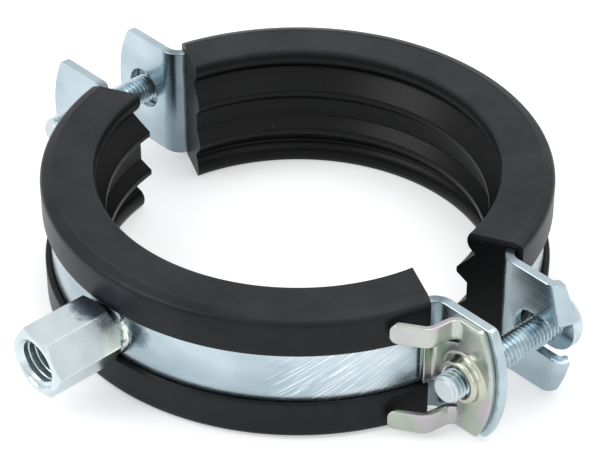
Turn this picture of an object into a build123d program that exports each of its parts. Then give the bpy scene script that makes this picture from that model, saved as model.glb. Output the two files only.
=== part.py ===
from build123d import *
from math import cos, radians, sin, sqrt
import os

# Two-piece pipe clamp with a ribbed rubber liner
#
# The pipe runs along Z, so the clamp lies on its side, on the liner's rims. The
# halves part along Y, the boss points along -Y, and the ears stand out along X:
# the hinge screw on the -X side, the closing screw and its lock clip on the +X
# side. The origin is the middle of the pipe that the ribs hold. Millimetres.

# Pipe and band
pipe_d = 78.0          # pipe across the crests of the middle ribs
band_t = 2.0           # steel strip, thickness
band_w = 26.0          # steel strip, width
bend_r = 2.5           # inside radius of the bends where the ears turn out
ear_gap = 16.5         # between the facing sides of the ears, as supplied
ear_len = 16.2         # from the band's outside to the middle of an ear's end
ear_bow = 3.3          # how far an ear's end bows out between its corners
corner_r = 1.5         # rounding of the ears' corners

# Rubber liner
rubber_depth = 9.6     # from the crests of the middle ribs to the band
edge_rib_back = 1.9    # the edge ribs stand back this far from the middle ones
edge_rib_w = 4.8       # width of an edge rib
mid_groove = 2.2       # depth of the groove in the middle
mid_floor = 4.2        # width of that groove's flat floor
side_groove = 3.7      # depth of the grooves beside the middle ribs
rib_pitch = 9.8        # between the crests of the middle ribs
rib_land = 1.2         # flat crest of a middle rib, which the pipe bears on
rib_crest_r = 0.5      # rounding of that crest's edges
lip_t = 1.4            # rubber over the outside of the band
bare_w = 12.0          # width of strip left bare between the lips, where the boss stands
side_t = 1.4           # rubber over the band's edges
rim_slope = 2.4        # width of the slope round the liner's outer rims
rim_drop = 0.6         # how far that slope falls
rim_r = 0.9            # rounding of the outer rims
liner_fit = 0.1        # between the rubber and the steel strip
liner_end_in = 6.9     # from the middle plane to the liner's end, at the ribs
liner_end_out = 12.7   # the same at the lips, which end short of the bends

# Screws
screw_d = 6.0          # thread, over its crests
screw_out = 8.0        # screw axis to the band's outside
hinge_len = 28.0       # hinge screw, under its head
closing_len = 30.0     # closing screw, under its head
head_stand = 2.5       # from the fork to the closing screw's head, as supplied
head_d = 12.0          # pan head
head_h = 4.4           # pan head, height
tip_chamfer = 0.7      # on the screw's end
recess_w = 1.6         # width of the head's slot and of its cross
recess_cross = 6.4     # length of the cross's arms, end to end
recess_depth = 1.9     # depth of the cross
slot_depth = 1.2       # depth of the slot
seat_gap = 0.1         # between a head and what it bears on
thread_gap = 0.05      # round a screw in its thread

# Holes in the ears
hinge_hole_d = 9.0     # oversize hole that lets the rear half swing
clip_hole_d = 7.0      # in the ear behind the lock clip
fork_w = 8.0           # open slot in the rear ear
fork_back = 1.6        # slot's round end centre, inward of the screw axis
fork_len = 13.8        # from the band's outside to the flat fork's bowed end
lip_turn = 70.0        # degrees that the end of each tine is turned back
lip_bend_r = 0.6       # inside radius of that turn
lip_run = 1.3          # length of the turned lip along the slot
lip_lean = 17.0        # degrees that the lip's bend leans from square to the slot

# Lock clip
clip_t = 1.3           # spring steel, thickness
clip_in = 1.2          # the plate's end stands back this far from the ear's
clip_edge = 0.2        # the plate stands back this far from the strip's edges
clip_bend_r = 2.4      # bends of the arms, to the middle of the steel
arm_w = 4.5            # width of each arm
arm_slit = 0.9         # slit between an arm and the tongue
arm_root = 5.0         # the arms bend down this far outside the band
arm_drop = 6.5         # straight part of an arm beside the liner's end
arm_tip_turn = 24.0    # degrees round the pipe at which the arms' tips bear
tip_gap = 0.25         # between those tips and the rubber
tip_r = 1.6            # rounding of the tips
slit_root = 6.4        # closed end of the slits, outside the band
tongue_end = 10.4      # height of the tongue at its bend
tongue_bend_r = 1.6    # bend of the tongue, to the middle of the steel
tongue_foot = 1.6      # length of the tongue past its bend
clip_gap = 0.05        # between the clip and the ear
collar_d = 9.4         # drawn collar that holds the thread
collar_h = 2.2         # collar, height over the plate
collar_root = 0.8      # rounding at the collar's root

# Boss
boss_af = 13.0         # hexagon, across flats
boss_len = 18.0        # boss, from the band to its face
neck_d = 11.0          # turned neck at the welded end
neck_len = 2.0         # neck, length at the band
weld_w = 0.9           # weld bead round the neck
weld_gap = 0.02        # between the boss and the band
mouth_d = 8.5          # core of the M10 thread at the mouth
mouth_depth = 9.0      # length of the M10 thread
deep_d = 6.8           # core of the M8 thread behind it
mouth_chamfer = 1.1    # at the mouth of the thread
hex_chamfer = 0.7      # on the corners of the hexagon

# Worked-out places
seat_r = pipe_d / 2
band_in_r = seat_r + rubber_depth
band_out_r = band_in_r + band_t
liner_out_r = band_out_r + lip_t
liner_half = band_w / 2 + side_t
ear_in = ear_gap / 2
ear_out = ear_in + band_t
screw_x = band_out_r + screw_out
reach = band_out_r + ear_len
fork_reach = band_out_r + fork_len
clip_h = band_w - 2 * clip_edge
big = 3 * reach


def nearest(shape, x, y):
    """The corner of a flat shape that lies nearest to a point."""
    return min(shape.vertices(), key=lambda v: (v.X - x) ** 2 + (v.Y - y) ** 2)


def band_side(left, right):
    """A half's strip seen along the pipe, on the +Y side: arc, bends and two ears."""
    ring = Circle(band_out_r) - Circle(band_in_r)
    ring &= Pos(0, ear_in + big / 2) * Rectangle(2 * big, big)
    corner_in = sqrt(band_in_r ** 2 - ear_in ** 2)
    corner_out = sqrt(band_out_r ** 2 - ear_out ** 2)
    for side, end in ((-1, left), (1, right)):
        ear = Rectangle(end - corner_in, band_t)
        ring += Pos(side * (end + corner_in) / 2, ear_in + band_t / 2) * ear
    for side in (-1, 1):
        ring = fillet(nearest(ring, side * corner_in, ear_in), bend_r + band_t)
        ring = fillet(nearest(ring, side * corner_out, ear_out), bend_r)
    return extrude(ring, band_w / 2, both=True)


def bowed_outline(left, right, height, bow, rounding):
    """A strip's outline in X and Z, each end bowed out by an arc between round corners."""
    half = height / 2
    top = Line((-left + bow, half), (right - bow, half))
    right_end = ThreePointArc((right - bow, half), (right, 0), (right - bow, -half))
    bottom = Line((right - bow, -half), (-left + bow, -half))
    left_end = ThreePointArc((-left + bow, -half), (-left, 0), (-left + bow, half))
    face = make_face([top, right_end, bottom, left_end])
    return fillet(face.vertices(), rounding)


def along_y(face, low, high):
    """A flat X-Z outline made solid between two values of Y."""
    solid = extrude(Plane.XZ * face, high - low, dir=(0, 1, 0))
    return Pos(0, low, 0) * solid


def bored(x, diameter, low, high):
    """A round hole along Y through an ear."""
    return Pos(x, (low + high) / 2, 0) * Rot(90, 0, 0) * Cylinder(diameter / 2, high - low)


def front_band():
    """Front half of the band, with a hole for each screw."""
    band = Rot(0, 0, 180) * band_side(reach, reach)
    band &= along_y(bowed_outline(reach, reach, band_w, ear_bow, corner_r), -big, big)
    band -= bored(-screw_x, screw_d + 2 * thread_gap, -ear_out - 1, -ear_in + 1)
    band -= bored(screw_x, clip_hole_d, -ear_out - 1, -ear_in + 1)
    return band


def turned_lip(band, up):
    """The end of a tine, turned back as a lip that keeps the screw's head in the fork."""
    low = Vector(fork_reach - lip_run, 0, up * fork_w / 2)
    lean = radians(lip_lean)
    run = Vector(-sin(lean), 0, up * cos(lean))
    out = Vector(cos(lean), 0, up * sin(lean))
    axis = Axis(low + Vector(0, ear_out + lip_bend_r, 0), run)
    cut = Plane(origin=low + Vector(0, ear_in, 0), x_dir=run, z_dir=out)
    flap_zone = cut * Pos(0, 0, big / 2) * Box(big, big, big)
    slot_side = Pos(0, 0, up * big / 2) * Box(2 * big, 2 * big, big)
    ear_zone = Pos(reach, ear_in, 0) * Box(2 * ear_len, 4 * band_t, big)
    lip = band & flap_zone & slot_side & ear_zone
    rest = band - lip
    edge = lip.faces().filter_by(lambda f: abs(f.normal_at().dot(out)) > 0.999).sort_by(
        lambda f: (f.center() - low).dot(out))[0]
    swing = lip_turn * up
    bend = revolve(edge, axis, swing)
    turned = lip.rotate(axis, swing)
    return rest + bend + turned


def rear_band():
    """Rear half of the band, with an oversize hole on one side and a fork on the other."""
    band = band_side(reach, fork_reach)
    band &= along_y(bowed_outline(reach, fork_reach, band_w, ear_bow, corner_r), -big, big)
    band -= bored(-screw_x, hinge_hole_d, ear_in - 1, ear_out + 1)
    seat_x = screw_x - fork_back
    slot = Pos(seat_x, 0) * Circle(fork_w / 2)
    slot += Pos(seat_x + big / 2, 0) * Rectangle(big, fork_w)
    slot = along_y(slot, ear_in - 1, 2 * ear_out)
    band -= slot
    for up in (1, -1):
        band = turned_lip(band, up)
    return (band - slot) & Box(2 * big, 2 * big, band_w)


def liner_section():
    """The rubber's section in R and Z: four ribs inside, a channel for the strip, two lips."""
    groove_r = seat_r + mid_groove
    side_r = seat_r + side_groove
    edge_r = seat_r + edge_rib_back
    rim_in = (3 * edge_r + side_r) / 4
    notch = liner_half - edge_rib_w
    channel_in = band_in_r - liner_fit
    channel_out = band_out_r + liner_fit
    channel_half = band_w / 2 + liner_fit
    bare_half = bare_w / 2
    land_in = (rib_pitch - rib_land) / 2
    land_out = (rib_pitch + rib_land) / 2
    slope_in = liner_out_r - rim_slope
    shoulder = liner_half - rim_drop
    lines = [Line((groove_r, -mid_floor / 2), (groove_r, mid_floor / 2))]
    for up in (-1, 1):
        lines += [
            ThreePointArc((rim_in, up * liner_half), (edge_r, up * (liner_half + notch) / 2),
                          (side_r, up * notch)),
            Polyline((side_r, up * notch), (seat_r, up * land_out), (seat_r, up * land_in),
                     (groove_r, up * mid_floor / 2)),
        ]
    lines += [
        Polyline(
            (rim_in, -liner_half), (slope_in, -liner_half), (liner_out_r, -shoulder),
            (liner_out_r, -bare_half), (channel_out, -bare_half), (channel_out, -channel_half),
            (channel_in, -channel_half), (channel_in, channel_half), (channel_out, channel_half),
            (channel_out, bare_half), (liner_out_r, bare_half), (liner_out_r, shoulder),
            (slope_in, liner_half), (rim_in, liner_half)),
    ]
    face = make_face(lines)
    rims = [nearest(face, liner_out_r, up * shoulder) for up in (-1, 1)]
    face = fillet(rims, rim_r)
    crests = [nearest(face, seat_r, up * z) for up in (-1, 1) for z in (land_in, land_out)]
    crests += [nearest(face, rim_in, up * liner_half) for up in (-1, 1)]
    return fillet(crests, rib_crest_r)


def rear_liner():
    """Ribbed rubber of the rear half, its ends cut slanting away from the bends."""
    ring = revolve(Plane.XZ * liner_section(), Axis.Z, 360)
    inner_x = sqrt(seat_r ** 2 - liner_end_in ** 2)
    outer_x = sqrt(liner_out_r ** 2 - liner_end_out ** 2)
    slope = (liner_end_out - liner_end_in) / (outer_x - inner_x)
    far = big / 2
    far_y = liner_end_in + slope * (far - inner_x)
    keep = make_face(Polyline(
        (-far, far_y), (-inner_x, liner_end_in), (inner_x, liner_end_in), (far, far_y),
        (far, big), (-far, big), (-far, far_y)))
    return ring & extrude(keep, big, both=True)


def front_liner():
    """Ribbed rubber of the front half."""
    return Rot(0, 0, 180) * rear_liner()


def screw(length):
    """Pan-head screw along Z, its head's underside at Z = 0 and its thread below."""
    radius = screw_d / 2
    head_r = head_d / 2
    rim = head_h * 0.45
    side = make_face([
        Polyline((0, head_h), (0, -length), (radius - tip_chamfer, -length),
                 (radius, -length + tip_chamfer), (radius, 0), (head_r, 0), (head_r, rim)),
        ThreePointArc((head_r, rim), (head_r * 0.78, head_h * 0.86), (head_r * 0.3, head_h)),
        Line((head_r * 0.3, head_h), (0, head_h)),
    ])
    body = revolve(Plane.XZ * side, Axis.Z, 360)
    cross = Box(recess_cross, recess_w, 2 * recess_depth) + Box(recess_w, recess_cross, 2 * recess_depth)
    body -= Pos(0, 0, head_h) * cross
    body -= Pos(0, 0, head_h) * Box(2 * head_d, recess_w, 2 * slot_depth)
    return body


def hinge_screw():
    """Screw on the hinge side: its head bears on the rear ear, its end stands out in front."""
    return Pos(-screw_x, ear_out + seat_gap, 0) * Rot(-90, 0, 0) * screw(hinge_len)


def closing_screw():
    """Screw on the closing side, not yet tightened: its head stands off the fork."""
    return Pos(screw_x, ear_out + head_stand, 0) * Rot(-90, 0, 0) * screw(closing_len)


def bent_strip(points, radii):
    """Spring steel seen along Z: a path with round bends, as thick as the clip."""
    return extrude(trace(FilletPolyline(*points, radius=radii), clip_t), big, both=True)


def lock_clip():
    """Threaded spring clip: a bowed plate, two arms that grip the liner, and a tongue."""
    plate_y = -(ear_out + clip_gap + clip_t / 2)
    plate_end = reach - clip_in
    root_x = band_out_r + slit_root
    half = clip_h / 2
    front = plate_y - clip_t / 2
    back = plate_y + clip_t / 2

    outline = bowed_outline(0, plate_end, clip_h, ear_bow, corner_r)
    outline &= Pos(root_x + big / 2, 0) * Rectangle(big, big)
    clip = along_y(outline, front, back)

    arm_x = band_out_r + arm_root
    tip_turn = radians(arm_tip_turn)
    tip_at = liner_out_r + tip_gap + clip_t / 2
    tip = Vector(tip_at * cos(tip_turn), -tip_at * sin(tip_turn), 0)
    arm = bent_strip([
        (root_x + 1, plate_y), (arm_x, plate_y), (arm_x - 1, plate_y - arm_drop),
        (tip.X, tip.Y)], clip_bend_r)
    for up in (1, -1):
        band_of = Pos(0, 0, up * (half - arm_w / 2)) * Box(2 * big, 2 * big, arm_w)
        finger = arm & band_of
        middle = tip + Vector(0, 0, up * (half - arm_w / 2))
        across = finger.edges().filter_by(lambda e: abs(e.tangent_at(0.5).Z) < 0.01)
        ends = across.sort_by(lambda e: (e.center() - middle).length)[:2]
        finger = fillet(ends, tip_r)
        clip += finger

    foot_x = band_out_r * cos(radians(14)) + tongue_bend_r + clip_t / 2 + seat_gap
    tongue = bent_strip([
        (root_x + 1, plate_y), (foot_x - tongue_bend_r, plate_y),
        (foot_x - tongue_bend_r, plate_y - tongue_bend_r - tongue_foot)], tongue_bend_r * 0.98)
    root_half = half - arm_w - arm_slit
    taper = make_face(Polyline(
        (root_x + 1, root_half), (foot_x, tongue_end / 2), (foot_x - big, tongue_end / 2),
        (foot_x - big, -tongue_end / 2), (foot_x, -tongue_end / 2), (root_x + 1, -root_half),
        (root_x + 1, root_half)))
    clip += tongue & along_y(taper, -big, big)

    collar_r = collar_d / 2
    bore_r = screw_d / 2 + thread_gap
    collar = make_face([
        Line((bore_r, 0), (collar_r + collar_root, 0)),
        RadiusArc((collar_r + collar_root, 0), (collar_r, collar_root), collar_root),
        Polyline((collar_r, collar_root), (collar_r, collar_h - 0.4), (collar_r - 0.4, collar_h),
                 (bore_r + 0.4, collar_h), (bore_r, collar_h - 0.4), (bore_r, 0)),
    ])
    clip += Pos(screw_x, front, 0) * Rot(90, 0, 0) * revolve(Plane.XZ * collar, Axis.Z, 360)
    return clip - bored(screw_x, 2 * bore_r, front - 1, back + 1)


def threaded_boss():
    """Welded hexagon boss on the middle of the front half, M10 at its mouth and M8 behind."""
    face_y = -(band_out_r + boss_len)
    across = boss_af / 2
    corner = boss_af / sqrt(3)
    length = boss_len - neck_len
    prism = extrude(RegularPolygon(corner, 6), length)
    trim = Cylinder(corner, length, align=(Align.CENTER, Align.CENTER, Align.MIN))
    trim = chamfer(trim.edges().filter_by(GeomType.CIRCLE), hex_chamfer, corner - across + 0.3)
    boss = prism & trim
    boss += Cylinder(neck_d / 2, boss_len + 2, align=(Align.CENTER, Align.CENTER, Align.MIN))
    boss -= Cylinder(mouth_d / 2, 2 * mouth_depth)
    boss -= Cylinder(deep_d / 2, 4 * boss_len)
    boss -= Cone(mouth_d / 2 + mouth_chamfer, mouth_d / 2, mouth_chamfer,
                 align=(Align.CENTER, Align.CENTER, Align.MIN))
    boss = Pos(0, face_y, 0) * Rot(-90, 0, 0) * boss
    bead = Pos(0, -band_out_r, 0) * Rot(90, 0, 0) * Cone(neck_d / 2 + weld_w, neck_d / 2, 2 * weld_w)
    boss += bead - bored(0, deep_d, face_y, 0)
    return boss - Cylinder(band_out_r + weld_gap, big)


parts = {
    "front_band": front_band,
    "rear_band": rear_band,
    "front_liner": front_liner,
    "rear_liner": rear_liner,
    "threaded_boss": threaded_boss,
    "hinge_screw": hinge_screw,
    "closing_screw": closing_screw,
    "lock_clip": lock_clip,
}

os.makedirs("parts", exist_ok=True)
for name, make in parts.items():
    shape = make()
    shape.label = name
    export_step(shape, f"parts/{name}.step")
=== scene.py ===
import math

import bmesh
import bpy
from bpy.props import FloatProperty, FloatVectorProperty, IntProperty, PointerProperty
from mathutils import Matrix, Vector
from mathutils.geometry import delaunay_2d_cdt, tessellate_polygon


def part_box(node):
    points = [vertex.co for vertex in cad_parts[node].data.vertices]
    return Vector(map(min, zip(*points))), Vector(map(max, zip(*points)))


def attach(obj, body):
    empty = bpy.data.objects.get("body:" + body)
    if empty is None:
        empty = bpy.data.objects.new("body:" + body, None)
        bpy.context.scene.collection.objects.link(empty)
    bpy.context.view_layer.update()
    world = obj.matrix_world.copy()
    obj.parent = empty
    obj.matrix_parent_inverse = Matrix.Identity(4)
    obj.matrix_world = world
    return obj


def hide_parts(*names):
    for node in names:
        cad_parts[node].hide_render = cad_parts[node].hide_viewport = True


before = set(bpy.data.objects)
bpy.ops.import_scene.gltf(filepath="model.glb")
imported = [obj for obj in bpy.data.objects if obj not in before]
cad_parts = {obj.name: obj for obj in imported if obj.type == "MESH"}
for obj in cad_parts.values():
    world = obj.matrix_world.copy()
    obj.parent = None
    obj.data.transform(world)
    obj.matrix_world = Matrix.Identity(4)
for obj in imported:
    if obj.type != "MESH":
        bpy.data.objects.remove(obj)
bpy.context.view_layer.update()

bl_info = {
    "name": "Pipe clamp finish",
    "version": (1, 0, 0),
    "blender": (4, 5, 0),
    "location": "View3D > Sidebar > Pipe clamp",
    "description": "Dresses a two-piece rubber-lined pipe clamp: strip, liners, screws, boss and lock clip",
    "category": "Object",
}

MM = 0.001

# Places taken from the fixed frame, in metres
BAND_LOW, BAND_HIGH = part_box("rear_band")
LINER_LOW, LINER_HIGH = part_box("rear_liner")
HINGE_LOW, HINGE_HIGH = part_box("hinge_screw")
CLOSING_LOW, CLOSING_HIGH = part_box("closing_screw")
CLIP_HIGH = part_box("lock_clip")[1]
BOSS_LOW, BOSS_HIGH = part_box("threaded_boss")

BAND_OUT = round(BAND_HIGH.y, 4)          # outer radius of the strip's arc
STRIP_HALF = BAND_HIGH.z                  # half the strip's width
EAR_IN = BAND_LOW.y                       # facing sides of the ears, from the middle plane
EAR_REACH = 66.8 * MM                     # from the middle to the end of a bowed ear
FORK_REACH = 64.4 * MM                    # the same on the forked ear, laid flat
LINER_OUT = round(LINER_HIGH.y, 4)        # outside of the rubber
LINER_HALF = LINER_HIGH.z                 # half the rubber's width
LINER_END_IN = LINER_LOW.y                # the liner's end, at its ribs
SCREW_X = (CLOSING_LOW.x + CLOSING_HIGH.x) / 2
HEAD_R = (CLOSING_HIGH.z - CLOSING_LOW.z) / 2
BOSS_TIP = BOSS_LOW.y
BOSS_FLAT = BOSS_HIGH.z
BOSS_CORNER = BOSS_HIGH.x
SEAM = 0.1 * MM                           # height of the mould seam on the liner's rims

# Marks on the metal, painted highlights among them: where they are, in metres
# Scratches by the lock clip: real marks, painted near white as a highlight
SCRATCH_GLINTS_AT = (0.042, -0.028, -0.001)       # on the strip, by the lock clip
STRIP_STAIN_AT = (0.0085, -BAND_OUT, 0.002)
BOSS_STAINS = (                           # place, full within, none beyond
    ((-0.0002, -0.0535, 0.0066), 0.0040, 0.0055),
    ((0.0042, -0.0545, 0.0046), 0.0002, 0.0020),
)
# Pale greenish tint by the weld, painted bright as a highlight on the hexagon's inner chamfer
BOSS_TINT_AND_HIGHLIGHT_AT = (0.0066, -0.0532, 0.0008)

# Shares and limits
THREAD_DEPTH = 0.6134                     # depth of a rolled thread, over its pitch
CREST_SHARE = 1 / 8                       # flat crest of that thread, over its pitch
ROOT_SHARE = 1 / 4                        # flat root of that thread, over its pitch
RECESS_DRAFT = 0.86                       # width of the cross's cutter at its floor, over its top
HEXAGON_STEPS = (0, 2, 4, 6, 9, 14, 20, 25, 30, 35, 40, 46, 51, 54, 56, 58)  # degrees in each sixth
SAME_POINT = 1e-6                         # points this close become one, in metres
SLIVER = 1e-7                             # edges this short are dissolved, in metres
HAIR = 1e-9                               # too small a difference to count
BEYOND = 1.0                              # straight run past a path's end, so that no point falls off
WITHIN_RIMS = 1                           # a triangulation keeps what its closed edges enclose


def paint(red, green, blue):
    """A colour named by its 8-bit screen values, as the linear colour that shaders use."""
    def straight(value):
        value /= 255
        return value / 12.92 if value <= 0.04045 else ((value + 0.055) / 1.055) ** 2.4
    return tuple(straight(v) for v in (red, green, blue))


def length(name, description, millimetres):
    """A length that a user can change."""
    return FloatProperty(name=name, description=description, default=millimetres * MM,
                         min=0.0, precision=5, unit="LENGTH")


def angle(name, description, degrees):
    """An angle that a user can change."""
    return FloatProperty(name=name, description=description, default=math.radians(degrees),
                         subtype="ANGLE", unit="ROTATION")


def share(name, description, default):
    """A plain number from 0 to 1."""
    return FloatProperty(name=name, description=description, default=default, min=0.0, max=1.0)


def colour(name, description, red, green, blue):
    """A colour that a user can change."""
    return FloatVectorProperty(name=name, description=description, subtype="COLOR", size=3,
                               default=paint(red, green, blue), min=0.0, max=1.0)


class StripSettings(bpy.types.PropertyGroup):
    """Sizes and finish of the zinc-plated strip."""
    thickness: length("Thickness", "Thickness of the strip", 2.0)
    bend_r: length("Bend radius", "Inside radius where an ear turns out", 2.5)
    bow: length("Ear bow", "How far an ear's end bows out between its corners", 3.3)
    corner_r: length("Corner rounding", "Rounding of the ears' corners", 1.5)
    edge_r: length("Edge rounding", "Rounding of the sheared edges", 0.3)
    grid: length("Mesh step", "Spacing of the mesh inside the strip", 1.6)
    hinge_hole_d: length("Swing hole", "Oversize hole in the rear ear", 9.0)
    thread_hole_d: length("Threaded hole", "Hole for the hinge screw in the front ear", 6.2)
    clip_hole_d: length("Clip hole", "Hole in the ear behind the lock clip", 7.0)
    slot_w: length("Slot width", "Open slot of the forked ear", 8.0)
    slot_back: length("Slot depth", "Slot's round end, inward of the screw", 1.6)
    lip_run: length("Lip length", "Length of a turned lip along the slot", 1.3)
    lip_bend: length("Lip bend", "Inside radius of a turned lip", 0.6)
    lip_turn: angle("Lip turn", "How far the lips are turned back", 70.0)
    lip_lean: angle("Lip lean", "How far a lip's bend leans from square to the slot", 17.0)
    zinc: colour("Zinc", "Colour of the plated strip", 185, 200, 207)
    shade: colour("Zinc shade", "Darker tone in the plating", 152, 170, 179)
    # Painted shade: a darker tone laid over the bends of the strip
    bend_shade: colour("Bend mark", "Dull tone where the press bent the strip", 96, 112, 122)
    stain: colour("Weld stain", "Heat stain beside the weld", 84, 96, 110)
    roughness: share("Roughness", "Roughness of the plating", 0.22)


class RubberSettings(bpy.types.PropertyGroup):
    """Sizes and finish of the ribbed rubber."""
    seat_r: length("Seat radius", "Radius across the crests of the middle ribs", 39.0)
    edge_back: length("Edge ribs back", "Edge ribs stand back from the middle ones", 1.9)
    edge_rib_w: length("Edge rib", "Width of an edge rib", 4.8)
    mid_groove: length("Middle groove", "Depth of the groove in the middle", 2.2)
    mid_floor: length("Middle floor", "Width of that groove's flat floor", 4.2)
    side_groove: length("Side grooves", "Depth of the grooves beside the middle ribs", 3.7)
    rib_pitch: length("Rib pitch", "Between the crests of the middle ribs", 9.8)
    rib_land: length("Rib land", "Flat crest of a middle rib", 1.2)
    crest_r: length("Crest rounding", "Rounding of the ribs' crests and of the inner rims", 0.5)
    root_r: length("Root rounding", "Rounding at the feet of the ribs", 0.45)
    bare_w: length("Bare strip", "Width of strip between the lips", 12.0)
    fit: length("Fit", "Between the rubber and the strip", 0.1)
    strip_t: length("Strip", "Thickness of the strip in the rubber's channel", 2.0)
    rim_slope: length("Rim slope", "Width of the slope round the outer rims", 2.4)
    rim_drop: length("Rim drop", "How far that slope falls", 0.6)
    rim_r: length("Rim rounding", "Rounding of the outer rims", 1.3)
    lip_r: length("Lip rounding", "Rounding of the lips' edges", 0.35)
    steps: IntProperty(name="Steps", description="Mesh steps round a liner", default=170, min=24)
    # Painted light: the ribs take the near-black shade colour, and the rims and outside take the lighter
    # lit skin colours, with the bloom varying them at random
    black: colour("Black", "Colour of the ribs", 3, 4, 4)
    skin: colour("Skin", "Greyer black of the rims and of the outside", 25, 27, 30)
    bloom: colour("Bloom", "Greyest tone on that skin", 42, 45, 48)
    roughness: share("Roughness", "Roughness of the rubber", 0.36)


class ScrewSettings(bpy.types.PropertyGroup):
    """Sizes and finish of the two pan-head screws."""
    thread_d: length("Thread", "Diameter over the thread's crests", 6.0)
    pitch: length("Pitch", "Pitch of the thread", 1.0)
    tip: length("Tip chamfer", "Chamfer on the screw's end", 0.7)
    head_h: length("Head height", "Height of the pan head", 4.4)
    recess_w: length("Recess width", "Width of the slot and of the cross", 1.6)
    recess_cross: length("Cross", "Length of the cross's arms, end to end", 6.4)
    recess_depth: length("Cross depth", "Depth of the cross", 1.9)
    slot_depth: length("Slot depth", "Depth of the slot", 1.2)
    around: IntProperty(name="Around", description="Mesh steps round a screw", default=48, min=12)
    zinc: colour("Zinc", "Colour of the plated screws", 200, 212, 216)
    shade: colour("Zinc shade", "Darker tone in the thread", 166, 184, 193)
    end: colour("Sheared end", "Duller, paler tone of the screws' ends", 206, 213, 216)
    roughness: share("Roughness", "Roughness of the plating", 0.22)


class BossSettings(bpy.types.PropertyGroup):
    """Sizes and finish of the welded boss."""
    neck_d: length("Neck", "Diameter of the turned neck", 11.0)
    neck_len: length("Neck length", "Length of the neck at the band", 2.0)
    face_r: length("Face radius", "Radius of the turned face on the hexagon", 6.2)
    chamfer: length("Hexagon chamfer", "Length of the chamfer on the hexagon", 0.7)
    corner_cut: length("Corner rounding", "What is rounded off the hexagon's corners", 0.07)
    mouth_d: length("Mouth core", "Core of the thread at the mouth", 8.5)
    mouth_cone: length("Mouth cone", "Width of the cone that opens the mouth", 1.1)
    mouth_major: length("Mouth thread", "Thread at the mouth, over its grooves", 10.0)
    mouth_pitch: length("Mouth pitch", "Pitch of the thread at the mouth", 1.5)
    mouth_depth: length("Mouth depth", "Length of the thread at the mouth", 9.0)
    deep_d: length("Deep core", "Core of the smaller thread behind it", 6.8)
    deep_major: length("Deep thread", "Smaller thread, over its grooves", 8.0)
    deep_pitch: length("Deep pitch", "Pitch of the smaller thread", 1.25)
    weld: length("Weld", "Size of the weld bead", 0.9)
    zinc: colour("Zinc", "Colour of the plated boss", 210, 221, 224)
    shade: colour("Zinc shade", "Darker tone in the plating", 196, 209, 214)
    # Painted highlight: a pale greenish tone beside the weld, brighter than the zinc
    tint_and_highlight: colour("Weld flash", "Pale greenish tone beside the weld", 234, 242, 232)
    burn: colour("Weld stain", "Heat stain beside the weld", 94, 106, 122)
    scale: colour("Weld scale", "Dull tone on the weld bead", 100, 96, 88)
    roughness: share("Roughness", "Roughness of the boss", 0.24)


class ClipSettings(bpy.types.PropertyGroup):
    """Sizes and finish of the threaded spring clip."""
    thickness: length("Thickness", "Thickness of the spring steel", 1.3)
    bow: length("Plate bow", "How far the plate's end bows out", 3.3)
    corner_r: length("Corner rounding", "Rounding of the plate's corners", 1.5)
    edge_r: length("Edge rounding", "Rounding of the punched edges", 0.2)
    grid: length("Mesh step", "Spacing of the mesh inside the clip", 0.7)
    bend_r: length("Arm bends", "Bends of the arms, to the middle of the steel", 2.4)
    arm_w: length("Arm width", "Width of each arm", 4.5)
    arm_slit: length("Slit", "Slit between an arm and the tongue", 0.9)
    arm_root: length("Arm root", "Where the arms bend down, outside the band", 5.0)
    arm_drop: length("Arm drop", "Straight part of an arm beside the liner", 6.5)
    arm_turn: angle("Arm tips", "How far round the pipe the arms' tips bear", 24.0)
    tip_gap: length("Tip gap", "Between the tips and the rubber", 0.25)
    tip_r: length("Tip rounding", "Rounding of the arms' tips", 1.6)
    slit_root: length("Slit root", "Closed end of the slits, outside the band", 6.4)
    tongue_end: length("Tongue", "Height of the tongue at its bend", 10.4)
    tongue_bend: length("Tongue bend", "Bend of the tongue, to the middle of the steel", 1.6)
    tongue_foot: length("Tongue foot", "Length of the tongue past its bend", 1.6)
    collar_d: length("Collar", "Diameter of the drawn collar", 9.4)
    collar_h: length("Collar height", "Height of the collar over the plate", 2.2)
    collar_root: length("Collar root", "Rounding at the collar's root", 1.1)
    collar_top: length("Collar top", "Rounding of the collar's rim", 0.8)
    bore_d: length("Bore", "Bore of the collar, round the screw", 6.1)
    zinc: colour("Passivated zinc", "Colour of the clip", 182, 188, 181)
    green: colour("Green tone", "Greenish patches of the passivation", 162, 175, 160)
    rose: colour("Violet tone", "Violet-grey patches of the passivation", 180, 173, 179)
    straw: colour("Straw tone", "Yellowish tone at the collar's foot", 192, 188, 152)
    roughness: share("Roughness", "Roughness of the clip", 0.22)


class StageSettings(bpy.types.PropertyGroup):
    """Camera, floor and lamps."""
    azimuth: angle("Azimuth", "Camera's turn about the pipe, from the boss side", 46.92)
    elevation: angle("Elevation", "Camera's height over the floor", 36.73)
    distance: length("Distance", "From the camera to the middle of the pipe", 519.3)
    focal: FloatProperty(name="Focal length", description="Focal length of the lens, in millimetres on a "
                         "36 mm sensor", default=151.74, min=1.0)
    slide_right: length("Slide right", "Camera's slide to the right", 0.48)
    slide_down: length("Slide down", "Camera's slide down", 2.29)
    floor_size: length("Floor", "Width of the floor", 6000.0)
    floor_colour: colour("Floor colour", "Colour of the floor", 236, 237, 238)
    floor_lift: share("Floor lift", "How far the floor is lifted towards white in view", 0.42)
    sky: share("Sky", "Strength of the plain soft light all round", 0.55)


# Mesh helpers


def shade(work, smooth_to):
    """Smooth shading, with sharp edges where faces meet at more than smooth_to degrees."""
    limit = math.radians(smooth_to)
    for face in work.faces:
        face.smooth = True
    for edge in work.edges:
        if len(edge.link_faces) == 2 and edge.calc_face_angle(0.0) > limit:
            edge.smooth = False


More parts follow.
